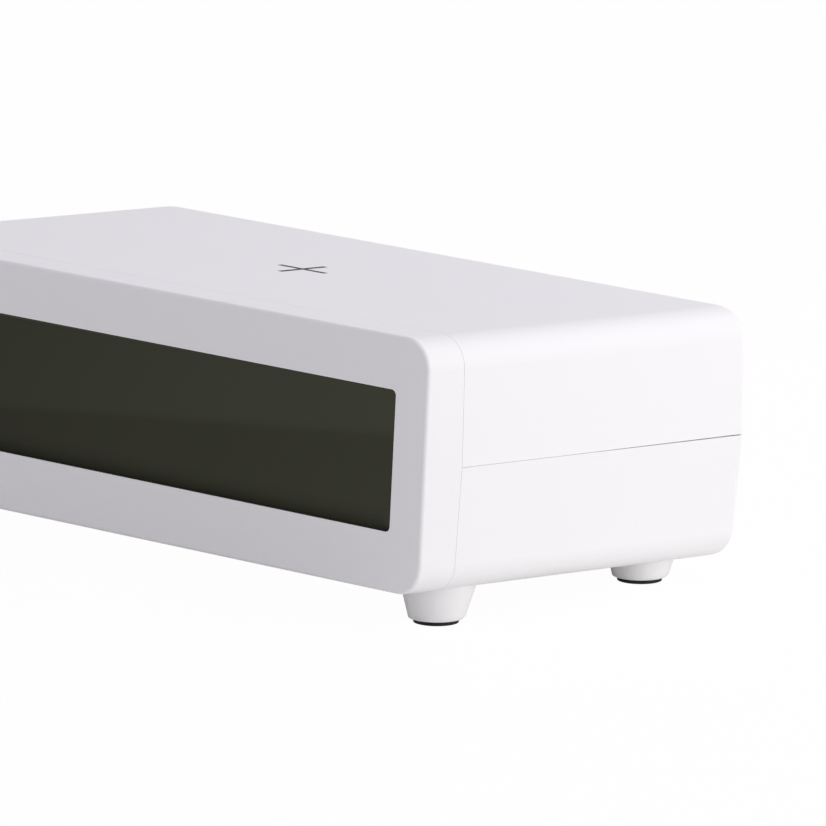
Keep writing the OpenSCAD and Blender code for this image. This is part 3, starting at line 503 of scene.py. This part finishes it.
def make_soft_shading():
    """A modifier tree that shades smooth across edges below the sharp angle."""
    tree = bpy.data.node_groups.new("soft_shading", "GeometryNodeTree")
    tree.interface.new_socket("Geometry", in_out="INPUT", socket_type="NodeSocketGeometry")
    tree.interface.new_socket("Geometry", in_out="OUTPUT", socket_type="NodeSocketGeometry")
    given = put(tree, "NodeGroupInput").outputs[0]
    plain = put(tree, "GeometryNodeRemoveAttribute", {"Geometry": given, "Name": "custom_normal"})
    faces = put(tree, "GeometryNodeSetShadeSmooth",
                {"Geometry": plain.outputs[0], "Shade Smooth": True}, domain="FACE")
    angle = put(tree, "GeometryNodeInputMeshEdgeAngle").outputs["Unsigned Angle"]
    gentle = put(tree, "FunctionNodeCompare", {0: angle, 1: SHARP_ANGLE}, operation="LESS_THAN")
    edges = put(tree, "GeometryNodeSetShadeSmooth",
                {"Geometry": faces.outputs[0], "Shade Smooth": gentle.outputs[0]}, domain="EDGE")
    put(tree, "NodeGroupOutput", {0: edges.outputs[0]})
    return tree


def soften(obj, edge_break=0.0):
    """Joins the faces of a CAD mesh for shading, and breaks its sharp edges."""
    weld = obj.modifiers.new("weld", "WELD")
    weld.merge_threshold = WELD_REACH
    if edge_break:
        flat = obj.modifiers.new("flat_faces", "DECIMATE")
        flat.decimate_type = "DISSOLVE"
        flat.angle_limit = FLAT_ANGLE
        bevel = obj.modifiers.new("edge_break", "BEVEL")
        bevel.width = edge_break
        bevel.segments = EDGE_BREAK_STEPS
        bevel.limit_method = "ANGLE"
        bevel.angle_limit = SHARP_ANGLE
    shading = obj.modifiers.new("soft_shading", "NODES")
    shading.node_group = SOFT_SHADING
    even = obj.modifiers.new("even_normals", "WEIGHTED_NORMAL")
    even.keep_sharp = True


# Measuring and making pieces

def solids_of(node):
    """The corner points of each separate solid in a CAD node."""
    form = bmesh.new()
    form.from_mesh(nodes[node].data)
    bmesh.ops.remove_doubles(form, verts=form.verts, dist=WELD_REACH)
    seen = set()
    solids = []
    for first in form.verts:
        if first in seen:
            continue
        seen.add(first)
        solid = [first]
        for vert in solid:
            for edge in vert.link_edges:
                other = edge.other_vert(vert)
                if other not in seen:
                    seen.add(other)
                    solid.append(other)
        solids.append(solid)
    places = [[vert.co.copy() for vert in solid] for solid in solids]
    form.free()
    return places


def spread(points, axis):
    """Lowest and highest place of points along an axis."""
    places = [point.dot(axis) for point in points]
    return min(places), max(places)


def make_piece(name, form, paint, body):
    """Turns a form into a piece that rides on a body."""
    bmesh.ops.recalc_face_normals(form, faces=form.faces)
    mesh = bpy.data.meshes.new(name)
    form.to_mesh(mesh)
    form.free()
    mesh.shade_smooth()
    mesh.set_sharp_from_angle(angle=SHARP_ANGLE)
    mesh.materials.append(paint)
    piece = link(bpy.data.objects.new(name, mesh))
    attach(piece, body)
    return piece


# Outlines of films

def plus_outline(arm, half):
    """Outline of a plus, from the reach of its arms and half the width of its lines."""
    outline = []
    for quarter in range(4):
        c = round(math.cos(quarter * math.pi / 2))
        s = round(math.sin(quarter * math.pi / 2))
        outline += [(x * c - y * s, x * s + y * c) for x, y in ((arm, -half), (arm, half), (half, half))]
    return outline


def arc(radius, start, end, middle=0.0, steps=16):
    """Points on an arc between two angles in degrees, about a middle on the upright axis."""
    turns = [math.radians(start + (end - start) * i / steps) for i in range(steps + 1)]
    return [(radius * math.cos(a), middle + radius * math.sin(a)) for a in turns]


def box_outline(left, right, low, high):
    return [(left, low), (right, low), (right, high), (left, high)]


def rays(count, inner, outer, half):
    """Short bars round a middle."""
    bars = []
    for i in range(count):
        a = 2 * math.pi * i / count
        bar = box_outline(inner, outer, -half, half)
        bars.append([(x * math.cos(a) - y * math.sin(a), x * math.sin(a) + y * math.cos(a))
                     for x, y in bar])
    return bars


# Signs on the buttons, in millimetres: a clock of two half rings that don't touch, a bell, arrows and a sun
BUTTON_SIGNS = {
    "mode": [
        arc(1.6, 1, 179) + arc(1.3, 179, 1), arc(1.6, 181, 359) + arc(1.3, 359, 181),
        [(-0.13, -0.13), (0.8, -0.13), (0.8, 0.13), (0.13, 0.13), (0.13, 1.0), (-0.13, 1.0)],
    ],
    "alarm": [
        [(-1.25, -0.8), (1.25, -0.8), (1.25, -0.6), (0.9, -0.25)] + arc(0.85, 0, 180, 0.4)
        + [(-0.9, -0.25), (-1.25, -0.6)],
        arc(0.38, 180, 360, -1.0),
    ],
    "down": [[(-1.25, 0.75), (0, -1.15), (1.25, 0.75)]],
    "up": [[(-1.25, -0.75), (1.25, -0.75), (0, 1.15)]],
    "light": [arc(0.7, 0, 337.5, steps=15)] + rays(8, 1.05, 1.6, 0.13),
}


def lay_film(name, outlines, spot, across, up, thickness, paint, body="clock"):
    """Flat outlines laid on a surface, as one thin film."""
    out = across.cross(up)
    form = bmesh.new()
    for outline in outlines:
        places = [spot + across * u + up * v for u, v in outline]
        root = [form.verts.new(place - out * FILM_ROOT) for place in places]
        face = [form.verts.new(place + out * thickness) for place in places]
        form.faces.new(root)
        form.faces.new(face)
        for k in range(len(outline)):
            form.faces.new((root[k - 1], root[k], face[k], face[k - 1]))
    return make_piece(name, form, paint, body)


def print_charging_mark():
    """A plus printed on the charging top."""
    spot = top_middle + body_right * MARK_PLACE[0] + body_rear * MARK_PLACE[1]
    lay_film("charging_mark", [plus_outline(MARK_ARM, MARK_LINE / 2)], spot, body_right, body_rear,
             INK_FILM, print_ink)


def print_button_signs():
    """A small sign on the face of each button, as seen from behind."""
    for key, outlines in BUTTON_SIGNS.items():
        button = solids_of(key + "_button")[0]
        face = body_rear * spread(button, body_rear)[1]
        x = sum(spread(button, body_right)) / 2
        z = sum(spread(button, body_up)) / 2
        scaled = [[(u * MM, v * MM) for u, v in outline] for outline in outlines]
        lay_film(key + "_sign", scaled, face + body_right * x + body_up * z, -body_right, body_up,
                 INK_FILM, print_ink, key + "_press")


def plate_inlet_contacts():
    """Gold strips on both faces of the inlet's tongue."""
    tongue = solids_of("inlet_tongue")[0]
    tip = spread(tongue, body_rear)[1]
    end = [point for point in tongue if point.dot(body_rear) > tip - CONTACT_EDGE]
    left, right = spread(end, body_right)
    low, high = spread(end, body_up)
    pitch = (right - left) / CONTACT_COUNT
    strips = []
    for i in range(CONTACT_COUNT):
        x = left + (i + 0.5) * pitch
        strips.append((x - CONTACT_WIDTH / 2, x + CONTACT_WIDTH / 2))
    near = tip - CONTACT_EDGE
    upper = [box_outline(a, b, near - CONTACT_LENGTH, near) for a, b in strips]
    lower = [box_outline(a, b, -near, CONTACT_LENGTH - near) for a, b in strips]
    lay_film("inlet_contacts_upper", upper, body_up * high, body_right, body_rear,
             CONTACT_FILM, contact_gold)
    lay_film("inlet_contacts_lower", lower, body_up * low, body_right, -body_rear,
             CONTACT_FILM, contact_gold)


def solder_chip_legs():
    """Rows of flat legs on two sides of each chip, all on one board."""
    legs = []
    chips = solids_of("board_chips")
    level = spread(chips[-1], body_up)[0]
    for chip in chips:
        left, right = spread(chip, body_right)
        front, rear = spread(chip, body_rear)
        count = int((rear - front) / LEG_PITCH)
        for i in range(count):
            y = (front + rear) / 2 + (i - (count - 1) / 2) * LEG_PITCH
            low = y - LEG_WIDTH / 2
            legs.append(box_outline(left - LEG_LENGTH, left, low, low + LEG_WIDTH))
            legs.append(box_outline(right, right + LEG_LENGTH, low, low + LEG_WIDTH))
    lay_film("chip_legs", legs, body_up * level, body_right, body_rear, LEG_FILM, plated_steel)


# Screws

def turn_screw(form, points, along):
    """Adds a pan-head screw, with a crossed recess and a rolled thread, in the place of one plain solid."""
    side = body_right
    other = along.cross(side)
    start, tip = spread(points, along)
    length = tip - start
    axis = side * sum(spread(points, side)) / 2 + other * sum(spread(points, other)) / 2
    reaches = [(point.dot(along) - start, (point - axis).cross(along).length) for point in points]
    head_r = max(reach for level, reach in reaches)
    shank_r = max(reach for level, reach in reaches if level > TIP_START * length)
    head_h = max(level for level, reach in reaches if reach > (head_r + shank_r) / 2)

    def corner(u, v, level):
        return form.verts.new(axis + along * (start + level) + side * u + other * v)

    def turn(radii, level):
        angles = [2 * math.pi * k / SCREW_SIDES for k in range(SCREW_SIDES)]
        return [corner(r * math.cos(a), r * math.sin(a), level) for r, a in zip(radii, angles)]

    rings = []
    for i in range(HEAD_STEPS + 1):
        a = math.pi / 2 * i / HEAD_STEPS
        radius = head_r * (1 - HEAD_ROUND * (1 - math.sin(a)))
        rings.append(turn([radius] * SCREW_SIDES, HEAD_ROUND_H * head_h * (1 - math.cos(a))))
    rings.append(turn([head_r] * SCREW_SIDES, head_h))
    pitch = THREAD_PITCH * shank_r
    rows = int((length - head_h) / pitch * THREAD_ROWS)
    for i in range(rows + 1):
        level = head_h + (length - head_h) * i / rows
        taper = min(1.0, TIP_SHARE + (length - level) / (2 * pitch))
        crests = [1 - abs(2 * ((level / pitch - k / SCREW_SIDES) % 1.0) - 1) for k in range(SCREW_SIDES)]
        rings.append(turn([shank_r * taper * (1 - THREAD_DEPTH * (1 - c)) for c in crests], level))
    for first, second in zip(rings, rings[1:]):
        for k in range(SCREW_SIDES):
            n = (k + 1) % SCREW_SIDES
            form.faces.new((first[k], first[n], second[n], second[k]))
    form.faces.new(rings[-1])
    flat_r = head_r * (1 - HEAD_ROUND)
    mouth = [corner(u, v, 0.0) for u, v in plus_outline(RECESS_ARM * flat_r, RECESS_LINE * flat_r)]
    inner = RECESS_TAPER * flat_r
    floor = [corner(u, v, RECESS_DEPTH * head_h)
             for u, v in plus_outline(RECESS_ARM * inner, RECESS_LINE * inner)]
    for k in range(len(mouth)):
        n = (k + 1) % len(mouth)
        form.faces.new((mouth[k], mouth[n], floor[n], floor[k]))
    form.faces.new(floor)
    rim = [form.edges.get((loop[k - 1], loop[k])) for loop in (rings[0], mouth) for k in range(len(loop))]
    bmesh.ops.bridge_loops(form, edges=rim)


def turn_screws(node, along):
    """Detailed screws in the place of a node's plain ones."""
    form = bmesh.new()
    for solid in solids_of(node):
        turn_screw(form, solid, along)
    piece = make_piece(node + "_turned", form, plated_steel, "clock")
    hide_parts(node)


# Scene

bpy.context.scene.view_settings.view_transform = "Standard"
make_camera()
make_softboxes()
make_world()
make_floor()
MOULDED_SKIN = make_moulded_skin()
DRAWN_METAL = make_drawn_metal()
SOFT_SHADING = make_soft_shading()

case_white = moulded("case_white", (0.90, 0.885, 0.905), (0.885, 0.87, 0.89), 0.5)
button_white = moulded("button_white", (0.88, 0.87, 0.885), (0.86, 0.85, 0.865), 0.36, depth=0.01 * MM)
window_smoke = moulded("window_smoke", (0.012, 0.0125, 0.007), (0.011, 0.0115, 0.0065), 0.035,
                       depth=0.0, drift=0.02, IOR=1.475, Specular_Tint=(0.95, 0.98, 0.66, 1))
pad_rubber = moulded("pad_rubber", (0.006, 0.006, 0.0065), (0.004, 0.004, 0.0045), 0.75,
                     grain=3600, depth=0.05 * MM)
black_plastic = moulded("black_plastic", (0.020, 0.020, 0.021), (0.014, 0.014, 0.015), 0.5)
segment_milk = moulded("segment_milk", (0.40, 0.38, 0.34), (0.36, 0.34, 0.30), 0.35, depth=0.008 * MM)
stem_red = moulded("stem_red", (0.30, 0.030, 0.028), (0.26, 0.024, 0.022), 0.42)
ferrite_grey = moulded("ferrite_grey", (0.055, 0.055, 0.058), (0.035, 0.035, 0.038), 0.72,
                       grain=1700, depth=0.06 * MM)
connector_ivory = moulded("connector_ivory", (0.72, 0.68, 0.56), (0.68, 0.64, 0.52), 0.45)
lead_sleeve = moulded("lead_sleeve", (0.55, 0.36, 0.10), (0.48, 0.30, 0.08), 0.34, grain=5200)
print_ink = moulded("print_ink", (0.050, 0.048, 0.052), (0.040, 0.038, 0.042), 0.6,
                    Specular_IOR_Level=0.12)
plated_steel = drawn("plated_steel", (0.66, 0.66, 0.67), (0.52, 0.52, 0.53), 0.3)
coil_copper = drawn("coil_copper", (0.80, 0.36, 0.18), (0.62, 0.26, 0.12), 0.32, Coat_Weight=0.6)
contact_gold = drawn("contact_gold", (0.82, 0.64, 0.30), (0.70, 0.52, 0.22), 0.28)
board_laminate = make_board_laminate()
ribbon_film = make_ribbon_film()

FEET = ["foot_front_left", "foot_front_right", "foot_rear_left", "foot_rear_right"]
PADS = ["pad_front_left", "pad_front_right", "pad_rear_left", "pad_rear_right"]
BUTTONS = [key + "_button" for key in BUTTON_SIGNS]
STEMS = [key + "_stem" for key in BUTTON_SIGNS]
# Finish, width of the broken edges in millimetres, and nodes
DRESSING = [
    (case_white, 0.0, ["front_bezel", "upper_case", "lower_case"] + FEET),
    (case_white, 0.15, ["cell_door"]),
    (button_white, 0.12, BUTTONS),
    (window_smoke, 0.0, ["display_window"]),
    (pad_rubber, 0.15, PADS),
    (black_plastic, 0.0, ["light_mask", "digit_reflector", "coil_tray", "inlet_tongue"]),
    (black_plastic, 0.2, ["buzzer", "switch_bodies", "board_chips"]),
    (segment_milk, 0.0, ["digit_segments"]),
    (board_laminate, 0.0, ["display_board", "main_board", "charger_board"]),
    (plated_steel, 0.0, ["display_screws", "case_screws", "board_screws", "tray_screws", "door_screw"]),
    (plated_steel, 0.06, ["power_inlet"]),
    (plated_steel, 0.2, ["coin_cell"]),
    (stem_red, 0.15, STEMS),
    (ferrite_grey, 0.1, ["ferrite_sheet"]),
    (coil_copper, 0.0, ["charging_coil"]),
    (lead_sleeve, 0.0, ["coil_leads"]),
    (contact_gold, 0.1, ["cell_contacts"]),
    (connector_ivory, 0.2, ["coil_plug", "ribbon_sockets"]),
    (ribbon_film, 0.0, ["display_ribbon"]),
]
for paint, edge_break, names in DRESSING:
    for name in names:
        dress(name, paint)
        soften(nodes[name], edge_break * MM)

print_charging_mark()
print_button_signs()
plate_inlet_contacts()
solder_chip_legs()
for name in ("case_screws", "tray_screws", "door_screw"):
    turn_screws(name, body_up)
turn_screws("board_screws", -body_up)
turn_screws("display_screws", -body_rear)
